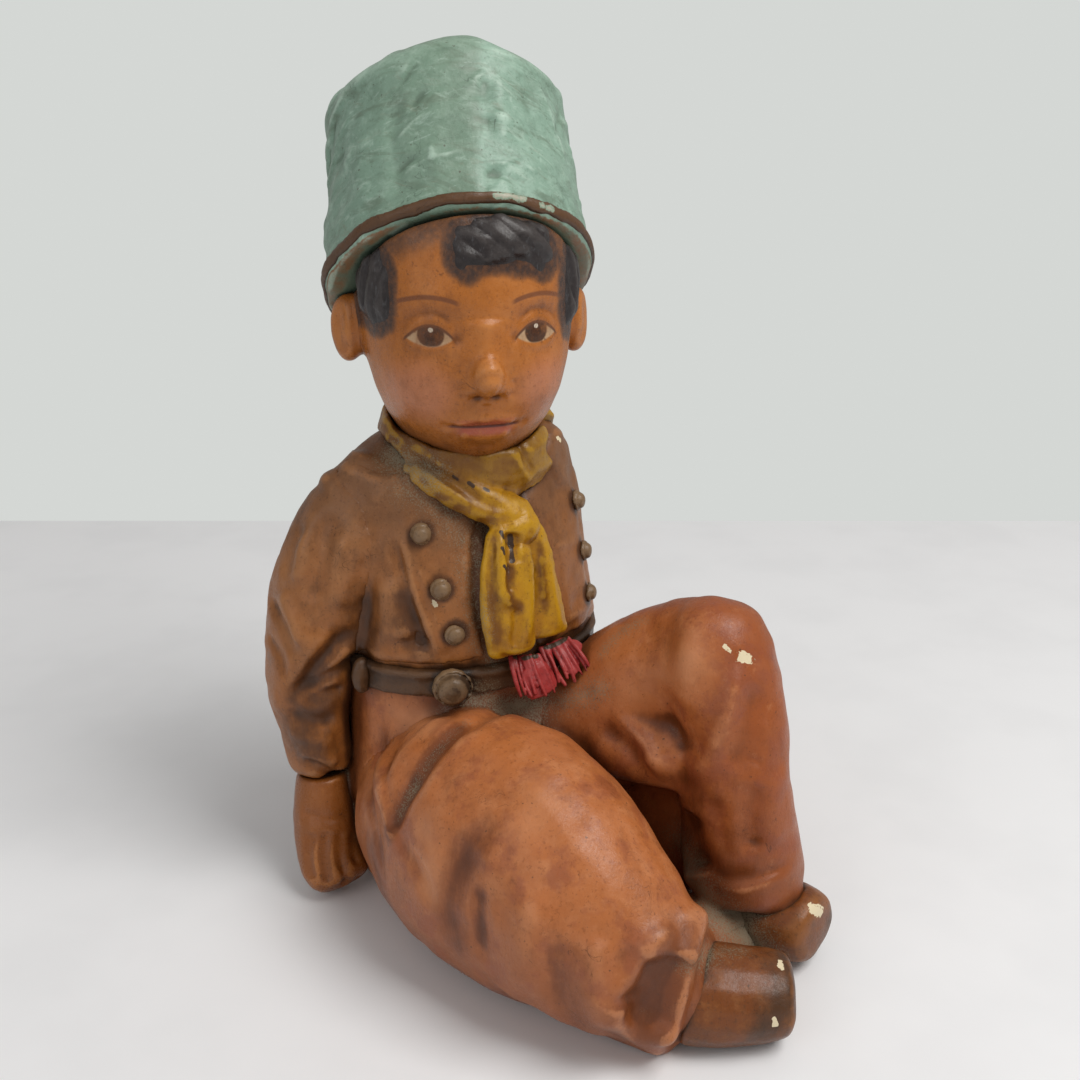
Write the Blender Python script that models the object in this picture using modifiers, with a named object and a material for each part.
"""A seated plaster figure of a boy in a tall cap, a short jacket, wide trousers and clogs.

The figure faces -Y and sits on the plane Z = 0, with its right side at -X.
The origin is on that plane, under the middle of the trunk.
Each garment and limb is a casting of its own that meets its neighbours across a hairline joint.
"""

import math

import bmesh
import bpy
from mathutils import Matrix, Vector

# Driving dimensions. Sizes in the tables below are millimetres, turned to metres by MM.
MM = 0.001
JOINT_GAP = 0.4
HALF_SPACE = 400.0
WAIST_HEIGHT = 82.0
SHARP_EDGE = math.radians(38)

# Upright sections of the trunk: height, centre x, centre y, half width, half depth
JACKET_SECTIONS = (
    (54, 3, 3, 45, 37),
    (72, 3, 3, 44, 36),
    (92, 2, 4, 42, 34),
    (112, 1, 5, 41, 33),
    (130, 1, 6, 40, 29),
    (143, 0, 7, 39, 24),
    (149, 0, 7, 36, 21),
    (154, 1, 7, 29, 18),
    (159, 3, 7, 19, 14),
    (163, 3, 7, 12, 11),
)
SEAT_SECTIONS = (
    (-14, 3, 5, 41, 40),
    (8, 3, 5, 43, 43),
    (28, 3, 5, 44, 43),
    (52, 3, 4, 45, 40),
    (72, 3, 3, 44, 36),
    (92, 2, 4, 42, 34),
    (106, 2, 4, 41, 33),
)
PANEL_RISE = 2.2
PANEL_HEIGHTS = (89.5, 147.0)
PANEL_EDGES = {"right": (-60.0, -6.5), "left": (9.0, 60.0)}
PANEL_SIDE_SEAM = 4.0
PANEL_REACH = 80.0
BELT_RISE = 2.4
BELT_HEIGHTS = (77.0, 87.5)

# Limb stations: centre x, y, z, half width, half height
RIGHT_LEG = (
    (-12, 8, 26, 25, 26),
    (-18, -16, 31, 33, 34),
    (-20, -46, 40, 35, 43),
    (-14, -76, 40, 33, 43),
    (-6, -96, 29, 28, 32),
    (3, -109, 22, 24, 25),
    (9, -114, 20.5, 24, 24),
    (11, -116, 20, 23.5, 23.5),
)
# Hollows pressed in the right leg, each as stations of the rounded form that leaves it
RIGHT_LEG_FOLDS = {
    "cuff_hollow": (
        (0, -130, 44, 6, 6),
        (-8, -131, 34, 9, 8),
        (-13, -128, 22, 9, 8),
        (-13, -124, 13, 6, 6),
    ),
    "thigh_hollow": (
        (-33, -86, 79, 7, 7),
        (-49, -82, 63, 10, 10),
        (-56, -78, 43, 10, 10),
        (-52, -77, 20, 8, 8),
    ),
    "hem_hollow": (
        (-34, -108, 55, 7, 7),
        (-37, -113, 41, 10, 10),
        (-34, -114, 23, 10, 10),
        (-30, -112, 8, 8, 8),
    ),
    "hip_hollow": (
        (-55, -46, 54, 6, 6),
        (-48, -47, 72, 6, 6),
        (-33, -47, 85, 6, 6),
        (-16, -45, 91, 5, 5),
    ),
}
LEFT_THIGH = (
    (20, 2, 36, 27, 28),
    (29, -22, 50, 27, 27),
    (41, -46, 75, 22, 24),
    (50, -66, 94, 18, 21),
    (53, -73, 98, 10, 11),
)
# The cloth that hangs from the drawn-up thigh, down to a corner beside the shin
LEFT_DRAPE = (
    (24, -34, 58, 12, 14),
    (29, -52, 62, 12, 14),
    (34, -66, 64, 11, 13),
    (40, -76, 66, 8, 11),
)
LEFT_SHIN = (
    (50, -68, 111, 9, 9),
    (50, -71, 100, 17, 17),
    (50, -79, 74, 15.5, 19),
    (50, -84, 46, 17, 19),
    (52, -86, 26, 19, 21),
    (52, -86, 19, 20, 21),
)
RIGHT_SLEEVE = (
    (-27, 8, 133, 15, 14),
    (-33, 8, 130, 20, 19),
    (-45, 12, 108, 17.5, 20),
    (-49, 16, 86, 16.5, 19),
    (-50, 17, 64, 14, 16),
    (-49, 15, 46, 11, 13),
    (-49, 14, 39, 11, 13),
)
LEFT_SLEEVE = (
    (25, 14, 132, 14, 14),
    (31, 17, 129, 18, 17),
    (40, 32, 108, 17, 17),
    (46, 42, 86, 16, 17),
    (45, 48, 64, 14, 15),
    (43, 51, 46, 11, 13),
    (43, 52, 39, 11, 13),
)
RIGHT_HAND = (
    (-49, 15, 48, 8, 8),
    (-50, 13, 34, 9.5, 10),
    (-51, 10, 20, 11.5, 12),
    (-51, 2, 9, 12.5, 10),
    (-50, -4, 4, 10, 7),
)
LEFT_HAND = (
    (43, 53, 48, 7, 8),
    (43, 52, 34, 9, 9),
    (45, 50, 20, 13, 11),
    (46, 44, 9, 14, 9),
    (46, 38, 4, 11, 6),
)
RIGHT_CLOG = (
    (0, -106, 12, 13, 12),
    (12, -113, 14, 15, 15),
    (24, -120, 13, 15, 14),
    (35, -126, 13, 13, 12),
    (38, -128, 13, 12, 11),
)
LEFT_CLOG = (
    (51, -76, 12, 13, 12),
    (54, -88, 14, 14, 15),
    (58, -99, 13, 14, 13),
    (62, -108, 14, 12, 11),
    (63, -111, 14, 11, 10),
)
KNEE_WEB = (
    (34, -24, 24, 10, 34),
    (42, -44, 30, 10, 44),
    (48, -62, 30, 9, 50),
    (51, -74, 26, 8, 44),
)
GROUND_WEB = (
    (12, -40, 0, 26, 14),
    (22, -70, 0, 26, 13),
    (34, -96, 0, 24, 11),
    (42, -108, 0, 16, 9),
)

# The head turns towards the figure's right: its own frame is left, forward and up from its centre
HEAD_CENTRE = (1, 0, 188)
HEAD_TURN = 17.0
# Level sections of the head: height, centre forward, half width, half depth
HEAD_SECTIONS = (
    (-52, -7, 17, 17),
    (-41, -6, 17, 18),
    (-35, 0, 18, 23),
    (-25, 3, 26, 31),
    (-8, 3, 31.5, 35),
    (10, 1, 33, 36),
    (30, 0, 33.5, 36),
    (46, -2, 30, 31),
)
NOSE = ((0, 37, -8), (4.5, 5, 5.5))
EAR_SPREAD = 35.5
EAR = ((-4, 1), (5.5, 8, 11.5))
HAIR = {
    "hair_forelock": ((6, 31, 26), (17, 8, 11)),
    "hair_right_side": ((-28, 13, 13), (8, 11, 16)),
    "hair_left_side": ((28, 13, 13), (8, 11, 16)),
    "hair_nape": ((0, -29, -6), (29, 12, 16)),
}

# The cap leans back: height along its axis, tilt of the section in degrees, half width, half depth
CAP_BASE = (-0.5, -4, 11)
CAP_LEAN = 24.0
BRIM_TILT = 38.0
CAP_SECTIONS = (
    (-16, 38, 42, 46),
    (3, 38, 41.5, 45),
    (24, 32, 38.5, 42),
    (45, 26, 37, 39),
    (54, 24, 37, 38.5),
    (58, 24, 36.5, 38),
    (63, 24, 23, 36),
    (67, 24, 5, 32),
)
TRIM_HEIGHT = 4.0
TRIM_RADII = (41.2, 44.6)
TRIM_THICKNESS = 2.4

# The scarf: a ring round the neck, a band across the throat, a knot and two tails
COLLAR_CENTRE = (3, 3, 152)
COLLAR_RADII = (24, 23.5)
COLLAR_TUBE = (5.0, 11.0)
COLLAR_TILT = 14.0
# Band stations: centre x, y, z, half width, half thickness
SCARF_WRAP = (
    (-24, -3, 150, 7, 4),
    (-16, -15, 145, 7, 4.5),
    (-6, -22.5, 138.5, 6.5, 5),
    (3, -26, 134.5, 6, 5),
    (9, -26, 131.5, 5, 4.5),
)
SCARF_KNOT = ((4, -27.5, 130.5), (8, 6, 6.5))
FRONT_TAIL = (
    (1, -27, 134, 7, 4),
    (-2, -31, 123, 9, 4),
    (-3.5, -33.5, 109, 10, 4),
    (-3, -35.5, 95, 9, 4),
    (-2.7, -36, 91.5, 8.8, 4),
)
BACK_TAIL = (
    (9, -25, 132, 5, 4),
    (11, -25.5, 120, 6.5, 4),
    (12, -28.5, 106, 7.5, 4),
    (11.5, -31.5, 96, 8.3, 4),
    (11.5, -31.7, 93, 8.3, 4),
)
FRONT_FRINGE = (
    (3, -36, 90, 6, 3.2),
    (5, -38, 83, 7.5, 3.2),
    (7, -41.5, 76, 8.5, 3.2),
)
BACK_FRINGE = (
    (16, -32.5, 91.5, 6.5, 3.2),
    (19, -36, 87, 7.5, 3.2),
    (22, -42, 82, 8, 3.2),
)

# Fastenings: height on the trunk and the angle round it from the front
BUTTON_SIZE = (3.7, 3.4)
BUTTON_HEIGHTS = (130.5, 114.0, 99.5)
BUTTON_ANGLES = {"right": (-37, -31, -27), "left": (49, 49, 49)}
CLASP_SIZE = (6.6, 5.0)
CLASP_ANGLE = -30.0
KEEPER_ANGLE = -74.0
KEEPER_SIZE = (3.0, 4.2, 6.4)

# Paint: linear colour, roughness
TERRACOTTA = ((0.42, 0.145, 0.055), 0.55)
JACKET_BROWN = ((0.36, 0.135, 0.060), 0.55)
SKIN = ((0.45, 0.165, 0.055), 0.42)
CAP_GREEN = ((0.185, 0.35, 0.275), 0.50)
DARK_BROWN = ((0.090, 0.045, 0.022), 0.55)
HAIR_BLACK = ((0.045, 0.032, 0.030), 0.40)
SCARF_YELLOW = ((0.46, 0.29, 0.030), 0.48)
FRINGE_RED = ((0.42, 0.045, 0.040), 0.50)
BUTTON_BROWN = ((0.13, 0.085, 0.050), 0.40)
CLOG_BROWN = ((0.24, 0.095, 0.040), 0.50)


def new_collection(name):
    """A collection linked to the scene."""
    collection = bpy.data.collections.new(name)
    bpy.context.scene.collection.children.link(collection)
    return collection


def add_mesh(name, bm):
    """Turns a bmesh into a named object with outward faces, in the figure's collection."""
    bmesh.ops.recalc_face_normals(bm, faces=bm.faces)
    mesh = bpy.data.meshes.new(name)
    bm.to_mesh(mesh)
    bm.free()
    obj = bpy.data.objects.new(name, mesh)
    bpy.data.collections["seated_boy"].objects.link(obj)
    return obj


def ring(bm, centre, axis_u, axis_w, sides):
    """One closed section of a loft: an ellipse with half axes axis_u and axis_w."""
    points = []
    for k in range(sides):
        angle = 2 * math.pi * k / sides
        points.append(bm.verts.new(centre + axis_u * math.cos(angle) + axis_w * math.sin(angle)))
    return points


def skin(bm, rings):
    """Side faces between neighbouring rings, and a cap on each end."""
    for low, high in zip(rings, rings[1:]):
        for k in range(len(low)):
            after = (k + 1) % len(low)
            bm.faces.new((low[k], low[after], high[after], high[k]))
    bm.faces.new(rings[0])
    bm.faces.new(rings[-1])


def cage_growth(sides):
    """How much wider a cage is than the smooth surface that it makes."""
    return 3 / (2 + math.cos(2 * math.pi / sides))


def smooth(obj, levels=1):
    """Rounds a coarse cage."""
    modifier = obj.modifiers.new("Soft", "SUBSURF")
    modifier.levels = levels
    modifier.render_levels = levels
    return obj


def trunk(name, sections, sides=12, rise=0.0):
    """A soft upright form lofted through level ellipses, each widened by rise."""
    bm = bmesh.new()
    grow = cage_growth(sides) * MM
    rings = []
    for z, x, y, width, depth in sections:
        across = Vector(((width + rise) * grow, 0, 0))
        ahead = Vector((0, (depth + rise) * grow, 0))
        rings.append(ring(bm, Vector((x, y, z)) * MM, across, ahead, sides))
    skin(bm, rings)
    return smooth(add_mesh(name, bm))


def limb(name, stations, sides=8, levels=1):
    """A soft form lofted through ellipses square to the line of its stations."""
    bm = bmesh.new()
    grow = cage_growth(sides) * MM
    centres = [Vector(station[:3]) for station in stations]
    rings = []
    for k, (centre, station) in enumerate(zip(centres, stations)):
        along = (centres[min(k + 1, len(centres) - 1)] - centres[max(k - 1, 0)]).normalized()
        across = Vector((1, 0, 0))
        across = (across - along * across.dot(along)).normalized()
        upward = along.cross(across)
        rings.append(ring(bm, centre * MM, across * station[3] * grow, upward * station[4] * grow, sides))
    skin(bm, rings)
    return smooth(add_mesh(name, bm), levels)


def frame_matrix(centre, x_axis, y_axis, z_axis):
    """Places a shape: its own axes are the three vectors, its centre is in millimetres."""
    matrix = Matrix((x_axis, y_axis, z_axis)).transposed().to_4x4()
    matrix.translation = centre
    return Matrix.Scale(MM, 4) @ matrix


def ellipsoid(name, matrix, segments=12, rings=8):
    """A ball of unit radius, stretched and placed by the matrix."""
    bm = bmesh.new()
    bmesh.ops.create_uvsphere(bm, u_segments=segments, v_segments=rings, radius=1.0, matrix=matrix)
    return add_mesh(name, bm)


def hoop(name, matrix, tube, segments, tube_sides):
    """A closed ring of unit radius in the matrix's XY plane; tube is its half width and half height."""
    bm = bmesh.new()
    rings = []
    for k in range(segments):
        angle = 2 * math.pi * k / segments
        out = matrix.to_3x3() @ Vector((math.cos(angle), math.sin(angle), 0))
        outward = out.normalized() * tube[0] * MM
        upward = matrix.to_3x3().col[2].normalized() * tube[1] * MM
        rings.append(ring(bm, matrix.translation + out, outward, upward, tube_sides))
    for low, high in zip(rings, rings[1:] + rings[:1]):
        for k in range(tube_sides):
            after = (k + 1) % tube_sides
            bm.faces.new((low[k], low[after], high[after], high[k]))
    return add_mesh(name, bm)


def box(name, low, high):
    """A block between two corners, in millimetres."""
    bm = bmesh.new()
    size = Vector(high) - Vector(low)
    matrix = Matrix.Translation((Vector(low) + size / 2) * MM) @ Matrix.Diagonal((*(size * MM), 1))
    bmesh.ops.create_cube(bm, size=1.0, matrix=matrix)
    return as_cutter(add_mesh(name, bm))


def half_space(name, point, normal):
    """A large block that fills the side of a plane that the normal points to."""
    matrix = Vector(normal).to_track_quat("Z", "Y").to_matrix().to_4x4()
    matrix.translation = (Vector(point) + Vector(normal) * HALF_SPACE / 2) * MM
    bm = bmesh.new()
    bmesh.ops.create_cube(bm, size=HALF_SPACE * MM, matrix=matrix)
    return as_cutter(add_mesh(name, bm))


def as_cutter(obj):
    """Moves a helper to the cutters' collection and keeps it out of the figure."""
    for collection in obj.users_collection:
        collection.objects.unlink(obj)
    bpy.data.collections["cutters"].objects.link(obj)
    obj.hide_render = True
    obj.display_type = "WIRE"
    return obj


def clearance(obj):
    """A helper that is the shape of obj, larger by the joint gap all round."""
    twin = bpy.data.objects.new(obj.name + "_clearance", obj.data)
    bpy.data.collections["seated_boy"].objects.link(twin)
    for modifier in obj.modifiers:
        if modifier.type == "SUBSURF":
            smooth(twin, modifier.levels)
    push = twin.modifiers.new("Gap", "DISPLACE")
    push.strength = JOINT_GAP * MM
    push.mid_level = 0.0
    return as_cutter(twin)


def boolean(obj, other, operation):
    """Cuts obj with another solid, or joins them."""
    modifier = obj.modifiers.new(operation.title(), "BOOLEAN")
    modifier.operation = operation
    modifier.object = other
    return obj


def carve(obj, *cutters):
    """Takes the cutters out of obj."""
    for cutter in cutters:
        boolean(obj, cutter, "DIFFERENCE")
    return obj


def paint(obj, finish):
    """Gives obj a material of its own."""
    colour, roughness = finish
    material = bpy.data.materials.new(obj.name)
    material.use_nodes = True
    shader = material.node_tree.nodes["Principled BSDF"]
    shader.inputs["Base Color"].default_value = (*colour, 1.0)
    shader.inputs["Roughness"].default_value = roughness
    shader.inputs["Metallic"].default_value = 0.0
    obj.data.materials.append(material)
    obj.data.shade_smooth()
    obj.data.set_sharp_from_angle(angle=SHARP_EDGE)
    return obj


def trunk_point(height, angle, rise=0.0):
    """A point on the jacket at a height and an angle from the front, and the way out of it there."""
    for low, high in zip(JACKET_SECTIONS, JACKET_SECTIONS[1:]):
        if low[0] <= height <= high[0]:
            share = (height - low[0]) / (high[0] - low[0])
            x, y, width, depth = (a + (b - a) * share for a, b in zip(low[1:], high[1:]))
    turn = math.radians(angle)
    point = Vector((x + (width + rise) * math.sin(turn), y - (depth + rise) * math.cos(turn), height))
    out = Vector((math.sin(turn) / width, -math.cos(turn) / depth, 0)).normalized()
    return point, out


def head_axes():
    """The head's left, forward and up directions."""
    turn = math.radians(HEAD_TURN)
    left = Vector((math.cos(turn), -math.sin(turn), 0))
    forward = Vector((-math.sin(turn), -math.cos(turn), 0))
    return left, forward, Vector((0, 0, 1))


def head_point(left, forward, up):
    """A point given in the head's frame, in millimetres."""
    axes = head_axes()
    return Vector(HEAD_CENTRE) + axes[0] * left + axes[1] * forward + axes[2] * up


def head_ball(name, centre, size, segments=10, rings=7):
    """An ellipsoid placed and aligned in the head's frame."""
    axes = [axis * half for axis, half in zip(head_axes(), size)]
    return ellipsoid(name, frame_matrix(head_point(*centre), *axes), segments, rings)


def head_form(sides=14):
    """The head and neck, lofted through level ellipses."""
    left, forward, _ = head_axes()
    grow = cage_growth(sides) * MM
    bm = bmesh.new()
    rings = [
        ring(bm, head_point(0, ahead, height) * MM, left * width * grow, forward * depth * grow, sides)
        for height, ahead, width, depth in HEAD_SECTIONS
    ]
    skin(bm, rings)
    return smooth(add_mesh("head", bm))


def cap_axes(tilt):
    """The cap's forward direction and the direction square to it, for a section with this tilt."""
    _, forward, up = head_axes()
    tilt = math.radians(tilt)
    ahead = forward * math.cos(tilt) + up * math.sin(tilt)
    return ahead, up * math.cos(tilt) - forward * math.sin(tilt)


def cap_point(height):
    """A point on the cap's axis, in millimetres above its brim."""
    return head_point(*CAP_BASE) + cap_axes(CAP_LEAN)[1] * height


def cap_form(sides=14):
    """The cap, from its brim to the fold that runs front to back along its top."""
    left = head_axes()[0]
    grow = cage_growth(sides) * MM
    bm = bmesh.new()
    rings = []
    for height, tilt, width, depth in CAP_SECTIONS:
        ahead = cap_axes(tilt)[0]
        rings.append(ring(bm, cap_point(height) * MM, left * width * grow, ahead * depth * grow, sides))
    skin(bm, rings)
    return smooth(add_mesh("cap_crown", bm))


def button(name, height, angle, size, rise):
    """A domed button half sunk in the surface that it sits on."""
    centre, out = trunk_point(height, angle, rise)
    side = Vector((0, 0, 1)).cross(out)
    radius, dome = size
    return ellipsoid(name, frame_matrix(centre, side * radius, out.cross(side) * radius, out * dome), 12, 6)


def front_panel(name, side, margin=0.0):
    """One front of the jacket: a thin curved plate laid on the trunk, larger all round by the margin."""
    near, far = PANEL_EDGES[side]
    low, high = PANEL_HEIGHTS
    plate = trunk(name, JACKET_SECTIONS, rise=PANEL_RISE + margin)
    corner_low = (near - margin, -PANEL_REACH, low - margin)
    corner_high = (far + margin, PANEL_SIDE_SEAM + margin, high + margin)
    return boolean(plate, box(name + "_area", corner_low, corner_high), "INTERSECT")


def build_trunk(cut):
    """Jacket, seat, belt and the two jacket fronts."""
    jacket = trunk("jacket_body", JACKET_SECTIONS)
    seat = trunk("trouser_seat", SEAT_SECTIONS)
    cut["jacket"] = clearance(jacket)
    cut["seat"] = clearance(seat)
    waist = (0, 0, WAIST_HEIGHT)
    half_gap = Vector((0, 0, JOINT_GAP / 2))
    carve(jacket, half_space("below_waist", Vector(waist) + half_gap, (0, 0, -1)))
    carve(seat, cut["floor"], half_space("above_waist", Vector(waist) - half_gap, (0, 0, 1)))
    paint(jacket, JACKET_BROWN)
    paint(seat, TERRACOTTA)

    _, x, y, width, depth = JACKET_SECTIONS[2]
    low, high = BELT_HEIGHTS
    belt = trunk("belt", [(z, x, y, width, depth) for z in (low, low, high, high)], rise=BELT_RISE)
    cut["belt"] = clearance(belt)
    paint(carve(belt, cut["jacket"], cut["seat"]), DARK_BROWN)

    for side in ("right", "left"):
        cut[side + "_panel"] = as_cutter(front_panel(side + "_panel_clearance", side, JOINT_GAP))
        panel = front_panel(side + "_front_panel", side)
        paint(carve(panel, cut["jacket"], cut["belt"]), JACKET_BROWN)


def build_legs(cut):
    """Trouser legs, clogs and the plaster left between the legs."""
    right = limb("right_trouser_leg", RIGHT_LEG, 10)
    left = limb("left_trouser_leg", LEFT_THIGH, 10)
    cut["right_leg"] = clearance(right)
    cut["left_leg"] = clearance(left)
    for name, stations in (("left_shin", LEFT_SHIN), ("left_drape", LEFT_DRAPE)):
        cloth = as_cutter(limb(name, stations, 10))
        boolean(cut["left_leg"], clearance(cloth), "UNION")
        boolean(left, cloth, "UNION")
    for name, stations in RIGHT_LEG_FOLDS.items():
        carve(right, as_cutter(limb(name, stations, 6)))
    hips = (cut["seat"], cut["jacket"], cut["belt"], cut["floor"])
    paint(carve(right, *hips), TERRACOTTA)
    paint(carve(left, *hips, cut["right_leg"]), TERRACOTTA)

    for side, stations in (("right", RIGHT_CLOG), ("left", LEFT_CLOG)):
        clog = limb(side + "_clog", stations)
        cut[side + "_clog"] = clearance(clog)
        paint(carve(clog, cut[side + "_leg"], cut["floor"]), CLOG_BROWN)
    names = ("seat", "belt", "right_leg", "left_leg", "right_clog", "left_clog", "floor")
    around = [cut[name] for name in names]
    web = limb("leg_web", GROUND_WEB)
    boolean(web, as_cutter(limb("knee_web", KNEE_WEB)), "UNION")
    paint(carve(web, *around), TERRACOTTA)


def build_arms(cut):
    """Sleeves and hands."""
    for side, sleeve, hand in (("right", RIGHT_SLEEVE, RIGHT_HAND), ("left", LEFT_SLEEVE, LEFT_HAND)):
        arm = limb(side + "_sleeve", sleeve, 10)
        cut[side + "_sleeve"] = clearance(arm)
        body = (cut["jacket"], cut[side + "_panel"], cut["belt"], cut["seat"])
        paint(carve(arm, *body, cut["right_leg"]), JACKET_BROWN)
        palm = limb(side + "_hand", hand)
        paint(carve(palm, cut[side + "_sleeve"], cut["seat"], cut["right_leg"], cut["floor"]), SKIN)


def build_head(cut):
    """Head, ears, hair, cap and the cord round the cap."""
    head = head_form()
    cut["head"] = clearance(head)
    nose = as_cutter(head_ball("nose", *NOSE, 8, 6))
    brim_forward, brim_up = cap_axes(BRIM_TILT)
    brim_low = head_point(*CAP_BASE)
    cut["under_cap"] = half_space("under_cap", brim_low, -brim_up)
    cut["over_brim"] = half_space("over_brim", brim_low - brim_up * JOINT_GAP, brim_up)
    paint(carve(boolean(head, nose, "UNION"), cut["over_brim"], cut["jacket"]), SKIN)

    cap = cap_form()
    cut["cap"] = clearance(cap)
    paint(carve(cap, cut["under_cap"]), CAP_GREEN)
    left = head_axes()[0]
    wide, deep = TRIM_RADII
    trim_centre = brim_low + brim_up * TRIM_HEIGHT
    place = frame_matrix(trim_centre, left * wide, brim_forward * deep, brim_up)
    trim = hoop("cap_cord", place, (TRIM_THICKNESS, TRIM_THICKNESS), 36, 6)
    paint(carve(trim, cut["cap"]), DARK_BROWN)

    (forward, up), size = EAR
    for side, out in (("right", -EAR_SPREAD), ("left", EAR_SPREAD)):
        ear = head_ball(side + "_ear", (out, forward, up), size)
        cut[side + "_ear"] = clearance(ear)
        paint(carve(ear, cut["head"], cut["over_brim"]), SKIN)
    for name, (centre, size) in HAIR.items():
        lock = head_ball(name, centre, size)
        edges = (cut["head"], cut["over_brim"], cut["right_ear"], cut["left_ear"])
        paint(carve(lock, *edges), HAIR_BLACK)


def build_scarf(cut):
    """The ring round the neck, the band, the knot, the tails and their fringes."""
    chest = (cut["jacket"], cut["right_panel"], cut["left_panel"], cut["belt"])
    tilt = math.radians(COLLAR_TILT)
    ahead = Vector((0, -math.cos(tilt), -math.sin(tilt)))
    upright = Vector((0, -math.sin(tilt), math.cos(tilt)))
    wide, deep = COLLAR_RADII
    place = frame_matrix(Vector(COLLAR_CENTRE), Vector((wide, 0, 0)), ahead * deep, upright)
    collar = hoop("scarf_collar", place, COLLAR_TUBE, 24, 8)
    wrap = limb("scarf_wrap", SCARF_WRAP)
    centre, size = SCARF_KNOT
    knot_axes = [Vector(row) for row in Matrix.Diagonal(size)]
    knot = ellipsoid("scarf_knot", frame_matrix(Vector(centre), *knot_axes))
    front = limb("scarf_front_tail", FRONT_TAIL)
    back = limb("scarf_back_tail", BACK_TAIL)
    strands = [limb("scarf_front_fringe", FRONT_FRINGE), limb("scarf_back_fringe", BACK_FRINGE)]
    pieces = {"collar": collar, "wrap": wrap, "knot": knot, "front": front, "back": back}
    for name, piece in pieces.items():
        cut[name] = clearance(piece)
    cut["front_fringe"] = clearance(strands[0])
    paint(carve(collar, *chest, cut["head"]), SCARF_YELLOW)
    paint(carve(wrap, *chest, cut["head"], cut["collar"]), SCARF_YELLOW)
    paint(carve(knot, *chest, cut["wrap"], cut["collar"], cut["head"]), SCARF_YELLOW)
    upper = (*chest, cut["wrap"], cut["knot"], cut["collar"])
    paint(carve(front, *upper), SCARF_YELLOW)
    paint(carve(back, *upper, cut["front"], cut["left_leg"]), SCARF_YELLOW)
    laps = (*chest, cut["front"], cut["back"], cut["seat"], cut["left_leg"], cut["right_leg"])
    paint(carve(strands[0], *laps), FRINGE_RED)
    paint(carve(strands[1], *laps, cut["front_fringe"]), FRINGE_RED)


def build_fastenings(cut):
    """Jacket buttons, the large belt clasp and the keeper that holds the belt's end."""
    for side, angles in BUTTON_ANGLES.items():
        for number, (height, angle) in enumerate(zip(BUTTON_HEIGHTS, angles), 1):
            stud = button(f"{side}_button_{number}", height, angle, BUTTON_SIZE, PANEL_RISE)
            paint(carve(stud, cut["jacket"], cut[side + "_panel"]), BUTTON_BROWN)
    middle = sum(BELT_HEIGHTS) / 2
    around = (cut["jacket"], cut["seat"], cut["belt"], cut["right_leg"], cut["left_leg"])
    clasp = button("belt_clasp", middle, CLASP_ANGLE, CLASP_SIZE, BELT_RISE)
    paint(carve(clasp, *around, cut["right_panel"]), BUTTON_BROWN)
    centre, out = trunk_point(middle, KEEPER_ANGLE, BELT_RISE)
    side = Vector((0, 0, 1)).cross(out)
    width, depth, height = KEEPER_SIZE
    place = frame_matrix(centre, side * width, out * depth, Vector((0, 0, height)))
    keeper = ellipsoid("belt_keeper", place, 8, 6)
    paint(carve(keeper, *around, cut["right_panel"]), DARK_BROWN)


def main():
    for old in list(bpy.data.objects):
        bpy.data.objects.remove(old)
    new_collection("seated_boy")
    new_collection("cutters")
    cut = {"floor": half_space("floor", (0, 0, 0), (0, 0, -1))}
    build_trunk(cut)
    build_legs(cut)
    build_arms(cut)
    build_head(cut)
    build_scarf(cut)
    build_fastenings(cut)


main()
